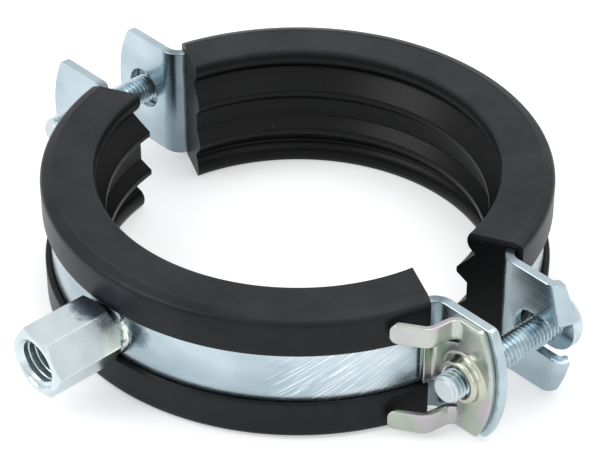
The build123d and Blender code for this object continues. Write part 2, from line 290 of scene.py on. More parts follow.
def new_piece(name, points, faces, material, uvs=None, smooth_to=35.0):
    """A mesh object from points in metres, smooth except at edges sharper than smooth_to degrees."""
    mesh = bpy.data.meshes.new(name)
    mesh.from_pydata([tuple(p) for p in points], [], faces)
    mesh.materials.append(material)
    if uvs:
        layer = mesh.uv_layers.new(name="Flat")
        for loop in mesh.loops:
            layer.data[loop.index].uv = uvs[loop.vertex_index]
    work = bmesh.new()
    work.from_mesh(mesh)
    bmesh.ops.remove_doubles(work, verts=work.verts, dist=SAME_POINT)
    bmesh.ops.dissolve_degenerate(work, edges=work.edges, dist=SLIVER)
    bmesh.ops.recalc_face_normals(work, faces=work.faces)
    shade(work, smooth_to)
    work.to_mesh(mesh)
    work.free()
    piece = bpy.data.objects.new(name, mesh)
    bpy.context.scene.collection.objects.link(piece)
    return piece


def seat(piece, body, nodes):
    """Lets a piece ride on its body and stand for its nodes."""
    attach(piece, body)
    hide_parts(*nodes)


def weigh_normals(piece):
    """Shades flats flat beside small roundings."""
    modifier = piece.modifiers.new("Weighted normals", "WEIGHTED_NORMAL")
    modifier.keep_sharp = True
    modifier.weight = 80


def in_cm(metres):
    """A length in centimetres, the unit of the flat coordinates."""
    return metres / MM / 10


def arc_points(centre, radius, start, end, count):
    """Points on an arc in a plane, from one angle to another."""
    return [(centre[0] + radius * math.cos(start + (end - start) * i / count),
             centre[1] + radius * math.sin(start + (end - start) * i / count))
            for i in range(count + 1)]


def arc_through(first, middle, last, count):
    """Points on the arc through three points."""
    (ax, ay), (bx, by), (cx, cy) = first, middle, last
    d = 2 * (ax * (by - cy) + bx * (cy - ay) + cx * (ay - by))
    a2, b2, c2 = ax * ax + ay * ay, bx * bx + by * by, cx * cx + cy * cy
    ux = (a2 * (by - cy) + b2 * (cy - ay) + c2 * (ay - by)) / d
    uy = (a2 * (cx - bx) + b2 * (ax - cx) + c2 * (bx - ax)) / d
    start = math.atan2(ay - uy, ax - ux)
    mid = math.atan2(by - uy, bx - ux)
    end = math.atan2(cy - uy, cx - ux)
    way = 1 if (mid - start) % math.tau < (end - start) % math.tau else -1
    sweep = ((end - start) * way) % math.tau * way
    return arc_points((ux, uy), math.hypot(ax - ux, ay - uy), start, start + sweep, count)


def rounded(points, radii, count=5):
    """A closed outline with an arc of its own radius at each corner."""
    outline = []
    total = len(points)
    for i, point in enumerate(points):
        radius = radii[i]
        here = Vector(point)
        if radius <= 0:
            outline.append(tuple(here))
            continue
        before = (Vector(points[i - 1]) - here).normalized()
        after = (Vector(points[(i + 1) % total]) - here).normalized()
        half = before.angle(after) / 2
        reach = radius / math.tan(half)
        centre = here + (before + after).normalized() * (radius / math.sin(half))
        first, last = here + before * reach, here + after * reach
        start = math.atan2(first.y - centre.y, first.x - centre.x)
        end = math.atan2(last.y - centre.y, last.x - centre.x)
        sweep = (end - start + math.pi) % math.tau - math.pi
        outline += arc_points(centre, radius, start, start + sweep, count)
    return outline


def spaced(outline, step):
    """A closed outline with points added so that none are further apart than a step."""
    result = []
    for i, point in enumerate(outline):
        here, after = Vector(point), Vector(outline[(i + 1) % len(outline)])
        cuts = max(1, math.ceil((after - here).length / step - 1e-6))
        result += [tuple(here.lerp(after, k / cuts)) for k in range(cuts)]
    return result


def signed_area(outline):
    """Area of a closed outline, positive when it runs counterclockwise."""
    return sum(a[0] * b[1] - b[0] * a[1] for a, b in zip(outline, outline[1:] + outline[:1])) / 2


def inset(outline, distance):
    """The outline moved to its left by a distance."""
    moved = []
    total = len(outline)
    for i, point in enumerate(outline):
        here = Vector(point)
        before = (here - Vector(outline[i - 1])).normalized()
        after = (Vector(outline[(i + 1) % total]) - here).normalized()
        left = Vector((-before.y - after.y, before.x + after.x)) / (1 + before.dot(after))
        moved.append(tuple(here + left * distance))
    return moved


def clear_points(candidates, loops, gap):
    """Those candidates that lie further than a gap from every point of the loops."""
    cells = {}
    for loop in loops:
        for x, y in loop:
            cells.setdefault((int(x // gap), int(y // gap)), []).append((x, y))
    kept = []
    for x, y in candidates:
        i, j = int(x // gap), int(y // gap)
        near = [p for a in (-1, 0, 1) for b in (-1, 0, 1) for p in cells.get((i + a, j + b), [])]
        if all((x - p[0]) ** 2 + (y - p[1]) ** 2 > gap * gap for p in near):
            kept.append((x, y))
    return kept


def inside(point, loop):
    """Whether a point lies inside a closed outline."""
    x, y = point
    found = False
    for (ax, ay), (bx, by) in zip(loop, loop[1:] + loop[:1]):
        if (ay > y) != (by > y) and x < ax + (y - ay) * (bx - ax) / (by - ay):
            found = not found
    return found


def pressed_sheet(outline, holes, inner, thickness, edge_r, place, edge_steps=3):
    """Points, faces and flat coordinates of a sheet with rounded rims, each point put by place."""
    loops = [outline if signed_area(outline) > 0 else outline[::-1]]
    loops += [hole if signed_area(hole) < 0 else hole[::-1] for hole in holes]
    skin_loops = [inset(loop, edge_r) for loop in loops]
    flat, edges = [], []
    for loop in skin_loops:
        first = len(flat)
        flat += [Vector(p) for p in loop]
        edges += [(first + i, first + (i + 1) % len(loop)) for i in range(len(loop))]
    rim_count = len(flat)
    flat += [Vector(p) for p in inner]
    made = delaunay_2d_cdt(flat, edges, [], WITHIN_RIMS, HAIR)
    spots, triangles, origins = made[0], made[2], made[3]
    triangles = [t for t in triangles
                 if not any(inside(sum((spots[v] for v in t), Vector((0, 0))) / 3, hole)
                            for hole in skin_loops[1:])]
    half = thickness / 2
    entries = [(p.x, p.y, half) for p in spots] + [(p.x, p.y, -half) for p in spots]
    count = len(spots)
    faces = [tuple(t) for t in triangles]
    faces += [(c + count, b + count, a + count) for a, b, c in triangles]
    where = {old: new for new, olds in enumerate(origins) for old in olds if old < rim_count}
    first = 0
    for loop in loops:
        size = len(loop)
        top = [where[first + i] for i in range(size)]
        rings = [top]
        angles = [k * math.pi / 2 / edge_steps for k in range(1, edge_steps + 1)]
        steps = [(edge_r * (1 - math.sin(a)), half - edge_r * (1 - math.cos(a))) for a in angles]
        steps += [(a, -h) for a, h in reversed(steps)]
        for away, height in steps:
            start = len(entries)
            entries += [(x, y, height) for x, y in inset(loop, away)]
            rings.append(list(range(start, start + size)))
        rings.append([i + count for i in top])
        for above, below in zip(rings, rings[1:]):
            faces += [(above[i], below[i], below[(i + 1) % size], above[(i + 1) % size])
                      for i in range(size)]
        first += size
    points = [place(x, y, height) for x, y, height in entries]
    return points, faces, [(in_cm(x), in_cm(y)) for x, y, _ in entries]


def circle(x, y, diameter, count):
    """A round hole in a flat pattern."""
    return [(x + diameter / 2 * math.cos(math.tau * i / count),
             y + diameter / 2 * math.sin(math.tau * i / count)) for i in range(count)]


class BendPath:
    """A line in a plane made of straight runs and round bends, walked by its length."""

    def __init__(self, x, y, heading):
        self.runs = []
        self.here = (0.0, x, y, heading)

    def go(self, distance, turn=0.0):
        """Adds a run of a length that turns by an angle on the way."""
        start, x, y, heading = self.here
        self.runs.append((start, x, y, heading, turn / distance))
        x, y, heading = self.at(start + distance)
        self.here = (start + distance, x, y, heading)
        return self

    def at(self, where):
        """The point and heading at a length along the line."""
        start, x, y, heading, bend = next(
            (run for run in reversed(self.runs) if where >= run[0]), self.runs[0])
        step = where - start
        if abs(bend) < HAIR:
            return x + step * math.cos(heading), y + step * math.sin(heading), heading
        end = heading + step * bend
        return (x + (math.sin(end) - math.sin(heading)) / bend,
                y - (math.cos(end) - math.cos(heading)) / bend, end)

    def off(self, where, height):
        """The point that stands off the line to its left by a height."""
        x, y, heading = self.at(where)
        return x - height * math.sin(heading), y + height * math.cos(heading)


def bent_path(start, corners, radii):
    """A path towards -X from a start through corners, each rounded, and its length."""
    path = BendPath(start.x, start.y, math.pi)
    here = start
    for i, corner in enumerate(corners[:-1]):
        before = (corner - here).normalized()
        after = (corners[i + 1] - corner).normalized()
        turn = math.atan2(before.x * after.y - before.y * after.x, before.dot(after))
        reach = radii[i] * math.tan(abs(turn) / 2)
        path.go((corner - here).length - reach)
        path.go(radii[i] * abs(turn), turn)
        here = corner + after * reach
    path.go((corners[-1] - here).length)
    end = path.here[0]
    path.go(BEYOND)
    return path, end


def helix_rows(profile, pitch, start, end, turns, cap):
    """Rows of (angle, length, radius) that follow a thread's own helix between two lengths."""
    rows = []
    first = math.floor(start / pitch) - 1
    last = math.ceil(end / pitch)
    for turn in range(first, last + 1):
        for phase, radius in profile:
            row = []
            for angle_round in turns:
                along = (turn + phase + angle_round / math.tau) * pitch
                along = min(max(along, start), end)
                row.append((angle_round, along, cap(along, radius)))
            rows.append(row)
    return rows


def turned_rows(outline, count=64):
    """Rows of (angle, length, radius) for a body turned from an outline of (radius, length)."""
    return [[(math.tau * i / count, along, radius) for i in range(count + 1)]
            for radius, along in outline]


def grid_faces(rows, first=0):
    """Faces between rows of equal length."""
    width = len(rows[0])
    return [(first + r * width + i, first + r * width + i + 1,
             first + (r + 1) * width + i + 1, first + (r + 1) * width + i)
            for r in range(len(rows) - 1) for i in range(width - 1)]


def down_y(x, top, angle_round, along, radius):
    """A point of a body turned about a line along -Y, measured from its top."""
    return (x + radius * math.cos(angle_round), top - along, radius * math.sin(angle_round))


# Material helpers


class Finish:
    """A procedural material under construction."""

    def __init__(self, name):
        self.material = bpy.data.materials.new(name)
        self.material.use_nodes = True
        self.tree = self.material.node_tree
        self.shader = self.tree.nodes["Principled BSDF"]

    def add(self, kind, **values):
        """A node with its properties set."""
        node = self.tree.nodes.new(kind)
        for key, value in values.items():
            setattr(node, key, value)
        return node

    def join(self, output, target):
        """A link from a socket to another."""
        self.tree.links.new(output, target)

    def feed(self, socket, value):
        """Gives a socket another one's value, a number or a colour."""
        if isinstance(value, bpy.types.NodeSocket):
            self.join(value, socket)
        elif socket.type == "RGBA":
            socket.default_value = (*value, 1.0)
        else:
            socket.default_value = value

    def base(self, **values):
        """Constants on the shader's own sockets."""
        for key, value in values.items():
            self.feed(self.shader.inputs[key.replace("_", " ")], value)

    def coat(self, tone, rough, relief=None):
        """Joins a colour, a roughness and a relief to the shader, and gives the material."""
        self.join(tone, self.shader.inputs["Base Color"])
        self.join(rough, self.shader.inputs["Roughness"])
        if relief is not None:
            self.join(relief, self.shader.inputs["Normal"])
        return self.material

    def coordinates(self, source):
        """Coordinates of the piece, flat ones along the sheet or those of the object."""
        return self.add("ShaderNodeTexCoord").outputs[source]

    def axes(self, source):
        """The X, Y and Z of those coordinates."""
        node = self.add("ShaderNodeSeparateXYZ")
        self.join(self.coordinates(source), node.inputs["Vector"])
        return node.outputs

    def place(self, source, scale):
        """Those coordinates, scaled."""
        mapping = self.add("ShaderNodeMapping")
        mapping.inputs["Scale"].default_value = scale
        self.join(self.coordinates(source), mapping.inputs["Vector"])
        return mapping.outputs["Vector"]

    def millimetres(self):
        """The object's coordinates in millimetres."""
        return self.place("Object", (1 / MM, 1 / MM, 1 / MM))

    def noise(self, where, scale, detail=3.0, roughness=0.55, distortion=0.0):
        """Soft noise."""
        node = self.add("ShaderNodeTexNoise")
        node.inputs["Scale"].default_value = scale
        node.inputs["Detail"].default_value = detail
        node.inputs["Roughness"].default_value = roughness
        node.inputs["Distortion"].default_value = distortion
        self.join(where, node.inputs["Vector"])
        return node.outputs["Fac"]

    def scratches(self, turn, long, fine, low, high):
        """Thin marks along one direction of the sheet, their length and width in centimetres."""
        mapping = self.add("ShaderNodeMapping", vector_type="TEXTURE")
        mapping.inputs["Rotation"].default_value = (0.0, 0.0, turn)
        mapping.inputs["Scale"].default_value = (long, fine, 1.0)
        self.join(self.coordinates("UV"), mapping.inputs["Vector"])
        marks = self.noise(mapping.outputs["Vector"], scale=1.0, detail=3.0, roughness=0.6)
        return self.span(marks, low, high)

    def spot(self, centre, full, none, ragged=0.0):
        """1 within a distance of a place on the piece, 0 beyond another, with a ragged edge."""
        where = self.coordinates("Object")
        away = self.add("ShaderNodeVectorMath", operation="DISTANCE")
        self.join(where, away.inputs[0])
        away.inputs[1].default_value = centre
        distance = away.outputs["Value"]
        if ragged:
            rough = self.noise(where, scale=420.0, detail=3.0, roughness=0.6)
            distance = self.math("ADD", distance, self.span(rough, 0.3, 0.7, -ragged, ragged))
        return self.span(distance, none, full)

    def span(self, value, low, high, to_low=0.0, to_high=1.0):
        """A value stretched from one range to another."""
        node = self.add("ShaderNodeMapRange")
        node.inputs["From Min"].default_value = low
        node.inputs["From Max"].default_value = high
        node.inputs["To Min"].default_value = to_low
        node.inputs["To Max"].default_value = to_high
        self.join(value, node.inputs["Value"])
        return node.outputs["Result"]

    def mix(self, factor, first, second):
        """A colour between two, each a colour or a socket."""
        node = self.add("ShaderNodeMix", data_type="RGBA")
        # The colours' sockets stand behind those for numbers and vectors of the same names
        self.feed(node.inputs[6], first)
        self.feed(node.inputs[7], second)
        self.join(factor, node.inputs[0])
        return node.outputs[2]

    def lay(self, patch, strength, under, over):
        """A tone laid over another where a patch is, up to a strength."""
        return self.mix(self.math("MULTIPLY", patch, strength), under, over)

    def math(self, operation, first, second=0.0):
        """Arithmetic on two values, each a number or a socket."""
        node = self.add("ShaderNodeMath", operation=operation)
        self.feed(node.inputs[0], first)
        self.feed(node.inputs[1], second)
        return node.outputs["Value"]

    def bump(self, height, strength, distance, after=None):
        """Relief on the shading, on top of an earlier one."""
        node = self.add("ShaderNodeBump")
        node.inputs["Strength"].default_value = strength
        node.inputs["Distance"].default_value = distance
        self.join(height, node.inputs["Height"])
        if after is not None:
            self.join(after, node.inputs["Normal"])
        return node.outputs["Normal"]


def rolled_zinc(name, settings, bend_at):
    """Bright zinc on rolled strip: fine lines along it, painted shade in the bends, real scratches by the
    clip painted near white as a highlight, and a weld stain.
    """
    finish = Finish(name)
    finish.base(Metallic=1.0)
    lines = finish.noise(finish.place("UV", (0.12, 9.0, 1.0)), scale=6.0, detail=5.0, roughness=0.7)
    clouds = finish.noise(finish.place("UV", (0.5, 0.8, 1.0)), scale=0.9, detail=2.0, roughness=0.5)
    fine = finish.noise(finish.coordinates("UV"), scale=55.0, detail=2.0, roughness=0.6)
    mottle = finish.math("ADD", finish.math("MULTIPLY", lines, 0.14), finish.math("MULTIPLY", clouds, 0.86))
    tone = finish.mix(finish.span(mottle, 0.36, 0.6), settings.shade[:], settings.zinc[:])
    # Painted shade in the bends: a darker tone round the middle of each bend, made ragged by the clouds
    along = finish.math("ABSOLUTE", finish.axes("UV")["X"])
    off = finish.math("ABSOLUTE", finish.math("SUBTRACT", along, in_cm(bend_at)))
    bend_shade_mask = finish.math("MULTIPLY", finish.span(off, 0.3, 0.08, 0.0, 0.85),
                        finish.span(clouds, 0.3, 0.6, 0.4, 1.0))
    tone = finish.mix(bend_shade_mask, tone, settings.bend_shade[:])
    # Scratches by the clip: real marks, with their near-white colour a painted highlight
    scratch_glint = finish.math("MULTIPLY",
                        finish.scratches(turn=-0.62, long=0.9, fine=0.035, low=0.5, high=0.64),
                        finish.spot(SCRATCH_GLINTS_AT, full=0.008, none=0.016, ragged=0.002))
    tone = finish.lay(scratch_glint, 0.7, tone, (0.95, 0.97, 1.0))
    stain = finish.spot(STRIP_STAIN_AT, full=0.0018, none=0.0036, ragged=0.0009)
    tone = finish.lay(stain, 0.8, tone, settings.stain[:])
    rough = finish.span(finish.math("ADD", lines, finish.math("MULTIPLY", fine, 0.5)), 0.4, 1.1,
                        settings.roughness - 0.06, settings.roughness + 0.12)
    relief = finish.bump(lines, strength=0.03, distance=0.05 * MM)
    relief = finish.bump(scratch_glint, strength=0.3, distance=0.03 * MM, after=relief)
    relief = finish.bump(fine, strength=0.06, distance=0.03 * MM, after=relief)
    return finish.coat(tone, rough, relief)


def turned_zinc(name, settings):
    """Bright zinc on the screws' rolled threads and heads, duller on their sheared ends."""
    finish = Finish(name)
    finish.base(Metallic=1.0)
    clouds = finish.noise(finish.millimetres(), scale=0.3, detail=2.0, roughness=0.5)
    tips = ((SCREW_X, CLOSING_LOW.y, 0.0), (-SCREW_X, HINGE_LOW.y, 0.0))
    ends = finish.math("MAXIMUM", *[finish.spot(tip, full=0.0024, none=0.0032) for tip in tips])
    tone = finish.mix(finish.span(clouds, 0.35, 0.65), settings.shade[:], settings.zinc[:])
    tone = finish.mix(ends, tone, settings.end[:])
    rough = finish.span(clouds, 0.3, 0.7, settings.roughness - 0.04, settings.roughness + 0.08)
    rough = finish.math("ADD", rough, finish.math("MULTIPLY", ends, 0.35))
    return finish.coat(tone, rough)


def welded_zinc(name, settings):
    """Bright zinc on hexagon bar: a dark stain by the weld, a pale greenish tint beside it painted bright
    as a highlight on the inner chamfer, and scale on the bead.
    """
    finish = Finish(name)
    finish.base(Metallic=1.0)
    where = finish.millimetres()
    clouds = finish.noise(where, scale=0.16, detail=2.0, roughness=0.5)
    fine = finish.noise(where, scale=4.0, detail=3.0, roughness=0.65)
    tone = finish.mix(finish.span(clouds, 0.35, 0.65), settings.shade[:], settings.zinc[:])
    for centre, full, none in BOSS_STAINS:
        stain = finish.spot(centre, full, none, ragged=0.0008)
        tone = finish.lay(stain, 0.9, tone, settings.burn[:])
    # Painted highlight with a greenish tint, on the hexagon's inner chamfer by the weld
    tint_and_highlight = finish.spot(BOSS_TINT_AND_HIGHLIGHT_AT, full=0.0026, none=0.0046, ragged=0.0008)
    tone = finish.lay(tint_and_highlight, 0.9, tone, settings.tint_and_highlight[:])
    bead = finish.span(finish.axes("Object")["Y"], -BAND_OUT - 1.5 * MM, -BAND_OUT - 0.9 * MM)
    flakes = finish.noise(where, scale=0.9, detail=3.0, roughness=0.6)
    scale = finish.math("MULTIPLY", bead, finish.span(flakes, 0.5, 0.66))
    tone = finish.mix(scale, tone, settings.scale[:])
    rough = finish.span(fine, 0.3, 0.8, settings.roughness - 0.05, settings.roughness + 0.08)
    rough = finish.math("ADD", rough, finish.math("MULTIPLY", scale, 0.2))
    relief = finish.bump(fine, strength=0.05, distance=0.04 * MM)
    return finish.coat(tone, rough, relief)


def passivated_zinc(name, settings):
    """Passivated spring steel: a pearly sheen that drifts between grey, green and violet."""
    finish = Finish(name)
    finish.base(Metallic=1.0)
    where = finish.coordinates("UV")
    drift = finish.noise(where, scale=0.9, detail=1.0, roughness=0.4, distortion=0.6)
    other = finish.noise(finish.place("UV", (1.4, 0.9, 1.0)), scale=1.2, detail=1.0, roughness=0.4,
                         distortion=0.4)
    fine = finish.noise(where, scale=22.0, detail=2.0, roughness=0.5)
    tone = finish.mix(finish.span(drift, 0.42, 0.62), settings.zinc[:], settings.green[:])
    tone = finish.mix(finish.span(other, 0.48, 0.66), tone, settings.rose[:])
    foot = finish.spot((SCREW_X, CLIP_HIGH.y - 1.3 * MM, 0.0), full=0.0048, none=0.0072)
    tone = finish.lay(foot, 0.3, tone, settings.straw[:])
    rough = finish.span(fine, 0.3, 0.75, settings.roughness - 0.04, settings.roughness + 0.06)
    relief = finish.bump(fine, strength=0.04, distance=0.04 * MM)
    return finish.coat(tone, rough, relief)


def moulded_rubber(name, settings):
    """Black rubber: rims and outside painted greyer as lit, ribs painted near black as shade, with a greyer
    bloom, fine grain and a few pale specks of dust.
    """
    finish = Finish(name)
    finish.base(Metallic=0.0, Specular_IOR_Level=0.17)
    where = finish.millimetres()
    bloom = finish.noise(where, scale=0.07, detail=4.0, roughness=0.6)
    grain = finish.noise(where, scale=3.2, detail=3.0, roughness=0.6)
    specks = finish.span(finish.noise(where, scale=1.7, detail=1.0, roughness=0.4), 0.75, 0.8)
    axes = finish.axes("Object")
    squares = [finish.math("MULTIPLY", axes[axis], axes[axis]) for axis in ("X", "Y")]
    across = finish.math("POWER", finish.math("ADD", *squares), 0.5)
    # Painted light: the rims, top and bottom alike, and the outside are painted greyer as lit skin, and the
    # ribs between them near black as shade
    high = finish.span(finish.math("ABSOLUTE", axes["Z"]), LINER_HALF - 1.6 * MM, LINER_HALF - 0.3 * MM)
    outside = finish.span(across, LINER_OUT - 1.5 * MM, LINER_OUT - 0.5 * MM, 0.0, 0.6)
    skin = finish.mix(finish.span(bloom, 0.35, 0.7), settings.skin[:], settings.bloom[:])
    tone = finish.mix(finish.math("MAXIMUM", high, outside), settings.black[:], skin)
    tone = finish.lay(specks, 0.2, tone, paint(120, 122, 124))
    rough = finish.span(grain, 0.25, 0.8, settings.roughness - 0.05, settings.roughness + 0.1)
    relief = finish.bump(grain, strength=0.1, distance=0.05 * MM)
    return finish.coat(tone, rough, relief)


# Strip


def strip_path(settings):
    """The strip's middle line from the crown of its arc to an ear, and where the ear starts."""
    half = settings.thickness / 2
    middle = BAND_OUT - half
    bend = settings.bend_r + half
    ear_y = EAR_IN + half
    centre_y = ear_y + bend
    sweep = math.pi / 2 - math.asin(centre_y / (middle + bend))
    path = BendPath(0.0, middle, 0.0)
    path.go(middle * sweep, -sweep).go(bend * sweep, sweep)
    ear_start, ear_x = path.here[0], path.here[1]
    path.go(BEYOND)
    return path, ear_start, ear_x, middle * sweep


def bowed_end(reach, bow, corner_r, half):
    """An ear's end, from its lower corner to its upper one, bowed out between round corners."""
    radius = (half * half + bow * bow) / (2 * bow)
    centre = reach - radius
    slope = math.asin((half - corner_r) / (radius - corner_r))
    corner_x = centre + (radius - corner_r) * math.cos(slope)
    lower = arc_points((corner_x, -half + corner_r), corner_r, -math.pi / 2, -slope, count=6)
    face = arc_points((centre, 0.0), radius, -slope, slope, count=30)
    upper = arc_points((corner_x, half - corner_r), corner_r, slope, math.pi / 2, count=6)
    return lower + face[1:-1] + upper


def strip_points(ear_start, arc_end, left, right, settings):
    """Where the mesh of the strip has its inner points: close together in the bends."""
    bend_share, row_share = 0.32, 2.2
    stops = []
    place = -left
    while place < right:
        stops.append(place)
        bent = arc_end - settings.grid < abs(place) < ear_start + settings.grid
        place += settings.grid * (bend_share if bent else 1.0)
    rows = max(2, round(2 * STRIP_HALF / (row_share * settings.grid)))
    return [(s, STRIP_HALF * (2 * k / rows - 1)) for s in stops for k in range(1, rows)]


def make_strip(name, turned, forked, settings, material):
    """One half of the band: arc, bends, two ears, and its holes or fork."""
    path, ear_start, ear_x, arc_end = strip_path(settings)
    full = ear_start + EAR_REACH - ear_x
    screw_s = ear_start + SCREW_X - ear_x
    half = STRIP_HALF
    side = -1.0 if turned else 1.0
    slot_half = settings.slot_w / 2
    rho = settings.lip_bend + settings.thickness / 2
    fold = rho * settings.lip_turn
    fork_s = ear_start + FORK_REACH - ear_x
    run = Vector((-math.sin(settings.lip_lean), math.cos(settings.lip_lean)))
    out = Vector((run.y, -run.x))
    low = Vector((fork_s - settings.lip_run, slot_half))

    def place(s, z, height):
        """A point of the flat pattern on the bent strip."""
        up = 1.0 if z >= 0 else -1.0
        past = (Vector((s, abs(z))) - low).dot(out)
        if forked and s > ear_start and past > 0:
            turn = min(past / rho, settings.lip_turn)
            beyond = max(0.0, past - fold)
            foot = Vector((s, abs(z))) - out * past
            level = (rho - height) * math.sin(turn) + beyond * math.cos(turn)
            lift = rho - (rho - height) * math.cos(turn) + beyond * math.sin(turn)
            spot = foot + out * level
            x, y = path.off(spot.x, lift)
            z = up * min(max(spot.y, slot_half), half)
        else:
            x, y = path.off(abs(s), height)
            x = math.copysign(x, s)
        return side * x, side * y, z

    lefts = [(-x, y) for x, y in reversed(bowed_end(full, settings.bow, settings.corner_r, half))]
    if forked:
        fork_end = bowed_end(fork_s, settings.bow, settings.corner_r, half)
        flat = [Vector(p) for p in fork_end if p[1] > slot_half]
        lip = [p for p in flat if (p - low).dot(out) > 0]
        top = lip[-1] - out * (lip[-1] - low).dot(out)
        bends = [out * fold * k / 6 for k in range(7)]
        tine = [low + bend for bend in bends] + [p + out * fold for p in lip]
        tine += [top + bend for bend in reversed(bends)] + flat[len(lip):]
        tine = [tuple(p) for p in tine]
        back = screw_s - settings.slot_back
        slot = arc_points((back, 0.0), slot_half, -math.pi / 2, -math.pi * 1.5, count=18)
        rights = [(x, -y) for x, y in reversed(tine)] + slot + tine
        holes = [circle(-screw_s, 0.0, settings.hinge_hole_d, count=40)]
        right = fork_s
    else:
        rights = bowed_end(full, settings.bow, settings.corner_r, half)
        holes = [circle(screw_s, 0.0, settings.thread_hole_d, count=36),
                 circle(-screw_s, 0.0, settings.clip_hole_d, count=36)]
        right = full
    rim_step = 0.7 * MM
    outline = spaced(rights + lefts, rim_step)
    inner = strip_points(ear_start, arc_end, full, right, settings)
    if forked:
        near = 0.4 * MM
        inner = [p for p in inner if p[0] < ear_start
                 or not -near < (Vector((p[0], abs(p[1]))) - low).dot(out) < fold + near]
        seam = [low + run * near * i + bend for i in range(2, 26) for bend in bends]
        inner += [(p.x, up * p.y) for p in seam for up in (-1, 1)]
    clearance = 0.35 * MM if forked else 0.75 * MM
    inner = clear_points(inner, [outline, *holes], clearance)
    inner = [p for p in inner if inside(p, outline) and not any(inside(p, hole) for hole in holes)]
    points, faces, uvs = pressed_sheet(outline, holes, inner, settings.thickness, settings.edge_r, place)
    piece = new_piece(name, points, faces, material, uvs=uvs)
    weigh_normals(piece)
    return piece


# Rubber


def rubber_section(settings):
    """The rubber's section in radius and Z: four ribs, a channel for the strip and two lips."""
    seat_r = settings.seat_r
    side_r = seat_r + settings.side_groove
    edge_r = seat_r + settings.edge_back
    groove_r = seat_r + settings.mid_groove
    rim_in = (3 * edge_r + side_r) / 4
    notch = LINER_HALF - settings.edge_rib_w
    channel_in = BAND_OUT - settings.strip_t - settings.fit
    channel_out = BAND_OUT + settings.fit
    channel_half = STRIP_HALF + settings.fit
    bare = settings.bare_w / 2
    land_in = (settings.rib_pitch - settings.rib_land) / 2
    land_out = (settings.rib_pitch + settings.rib_land) / 2
    crest, root = settings.crest_r, settings.root_r
    rib = arc_through((rim_in, LINER_HALF), (edge_r, (LINER_HALF + notch) / 2), (side_r, notch), count=8)
    upper = [(rib[0], crest), *((p, 0.0) for p in rib[1:-1]), (rib[-1], root),
             ((seat_r, land_out), crest), ((seat_r, land_in), crest),
             ((groove_r, settings.mid_floor / 2), root)]
    slope_in = LINER_OUT - settings.rim_slope
    outer = [((slope_in - 2 * SEAM, LINER_HALF), SEAM / 2), ((slope_in, LINER_HALF + SEAM), SEAM / 2),
             ((LINER_OUT, LINER_HALF - settings.rim_drop), settings.rim_r),
             ((LINER_OUT, bare), settings.lip_r), ((channel_out, bare), settings.lip_r),
             ((channel_out, channel_half), 0.0), ((channel_in, channel_half), 0.0)]
    half = outer[::-1] + upper
    whole = half + [((r, -z), rounding) for (r, z), rounding in reversed(half)]
    return rounded([p for p, _ in whole], [rounding for _, rounding in whole], count=5)


def make_liner(name, turned, settings, material):
    """One ribbed liner, its ends cut slanting away from the bends."""
    skin_step = 0.9 * MM
    section = spaced(rubber_section(settings), skin_step)
    inner_x = math.sqrt(settings.seat_r ** 2 - LINER_END_IN ** 2)
    outer_x = LINER_HIGH.x
    outer_y = math.sqrt(LINER_OUT ** 2 - outer_x ** 2)
    slope = (outer_y - LINER_END_IN) / (outer_x - inner_x)
    offset = LINER_END_IN - slope * inner_x
    side = -1.0 if turned else 1.0
    rows = []
    for r, z in section:
        # Where the slanting cut crosses the circle of this radius
        a, b, c = 1 + slope * slope, 2 * slope * offset, offset * offset - r * r
        x = (-b + math.sqrt(b * b - 4 * a * c)) / (2 * a)
        first = math.asin((slope * x + offset) / r)
        row = []
        for i in range(settings.steps + 1):
            turn = first + (math.pi - 2 * first) * i / settings.steps
            row.append((side * r * math.cos(turn), side * r * math.sin(turn), z))
        rows.append(row)
    points = [p for row in rows for p in row]
    faces = grid_faces(rows + [rows[0]])
    width = settings.steps + 1
    total = len(points)
    faces = [tuple(v % total for v in face) for face in faces]
    flat = [Vector((r, z, 0.0)) for r, z in section]
    for end in (0, settings.steps):
        ring = [k * width + end for k in range(len(section))]
        faces += [tuple(ring[v] for v in triangle) for triangle in tessellate_polygon([flat])]
    return new_piece(name, points, faces, material, smooth_to=38.0)


# Screws


def make_shank(name, x, top, reach, settings, material):
    """A rolled thread along -Y, from under the head to a chamfered end."""
    around = settings.around
    crest = settings.thread_d / 2
    root = crest - THREAD_DEPTH * settings.pitch
    tip_r = crest - settings.tip

    def cap(along, radius):
        """Radius of the thread, kept inside the end's chamfer and the head."""
        if along >= reach - HAIR:
            return tip_r
        return max(tip_r, min(radius, tip_r + reach - along)) if along > 0 else tip_r

    flank = (1 - CREST_SHARE - ROOT_SHARE) / 2
    bends = [(0.0, crest), (CREST_SHARE, crest), (CREST_SHARE + flank, root), (1 - flank, root),
             (1.0, crest)]
    profile = [(a + (b - a) * k / 4, low + (high - low) * k / 4)
               for (a, low), (b, high) in zip(bends, bends[1:]) for k in range(4)]
    turns = [math.tau * i / around for i in range(around + 1)]
    rows = helix_rows(profile, settings.pitch, 0.0, reach, turns, cap)
    points = [down_y(x, top, *spot) for row in rows for spot in row]
    faces = grid_faces(rows)
    for along in (0.0, reach):
        first = len(points)
        points += [down_y(x, top, turn, along, tip_r) for turn in turns[:-1]]
        faces.append(tuple(range(first, first + around)))
    return new_piece(name, points, faces, material, smooth_to=32.0)


def make_head(name, x, top, settings, material):
    """A pan head turned about -Y, whole."""
    high = settings.head_h
    edge = 0.15 * MM
    side = arc_through((HEAD_R, high * 0.45), (HEAD_R * 0.78, high * 0.86), (HEAD_R * 0.3, high), count=12)
    outline = [(0.0, 0.0), (HEAD_R - edge, 0.0), (HEAD_R, edge), *side, (0.0, high)]
    rows = turned_rows([(r, -h) for r, h in outline])
    points = [down_y(x, top, *spot) for row in rows for spot in row]
    return new_piece(name, points, grid_faces(rows), material)


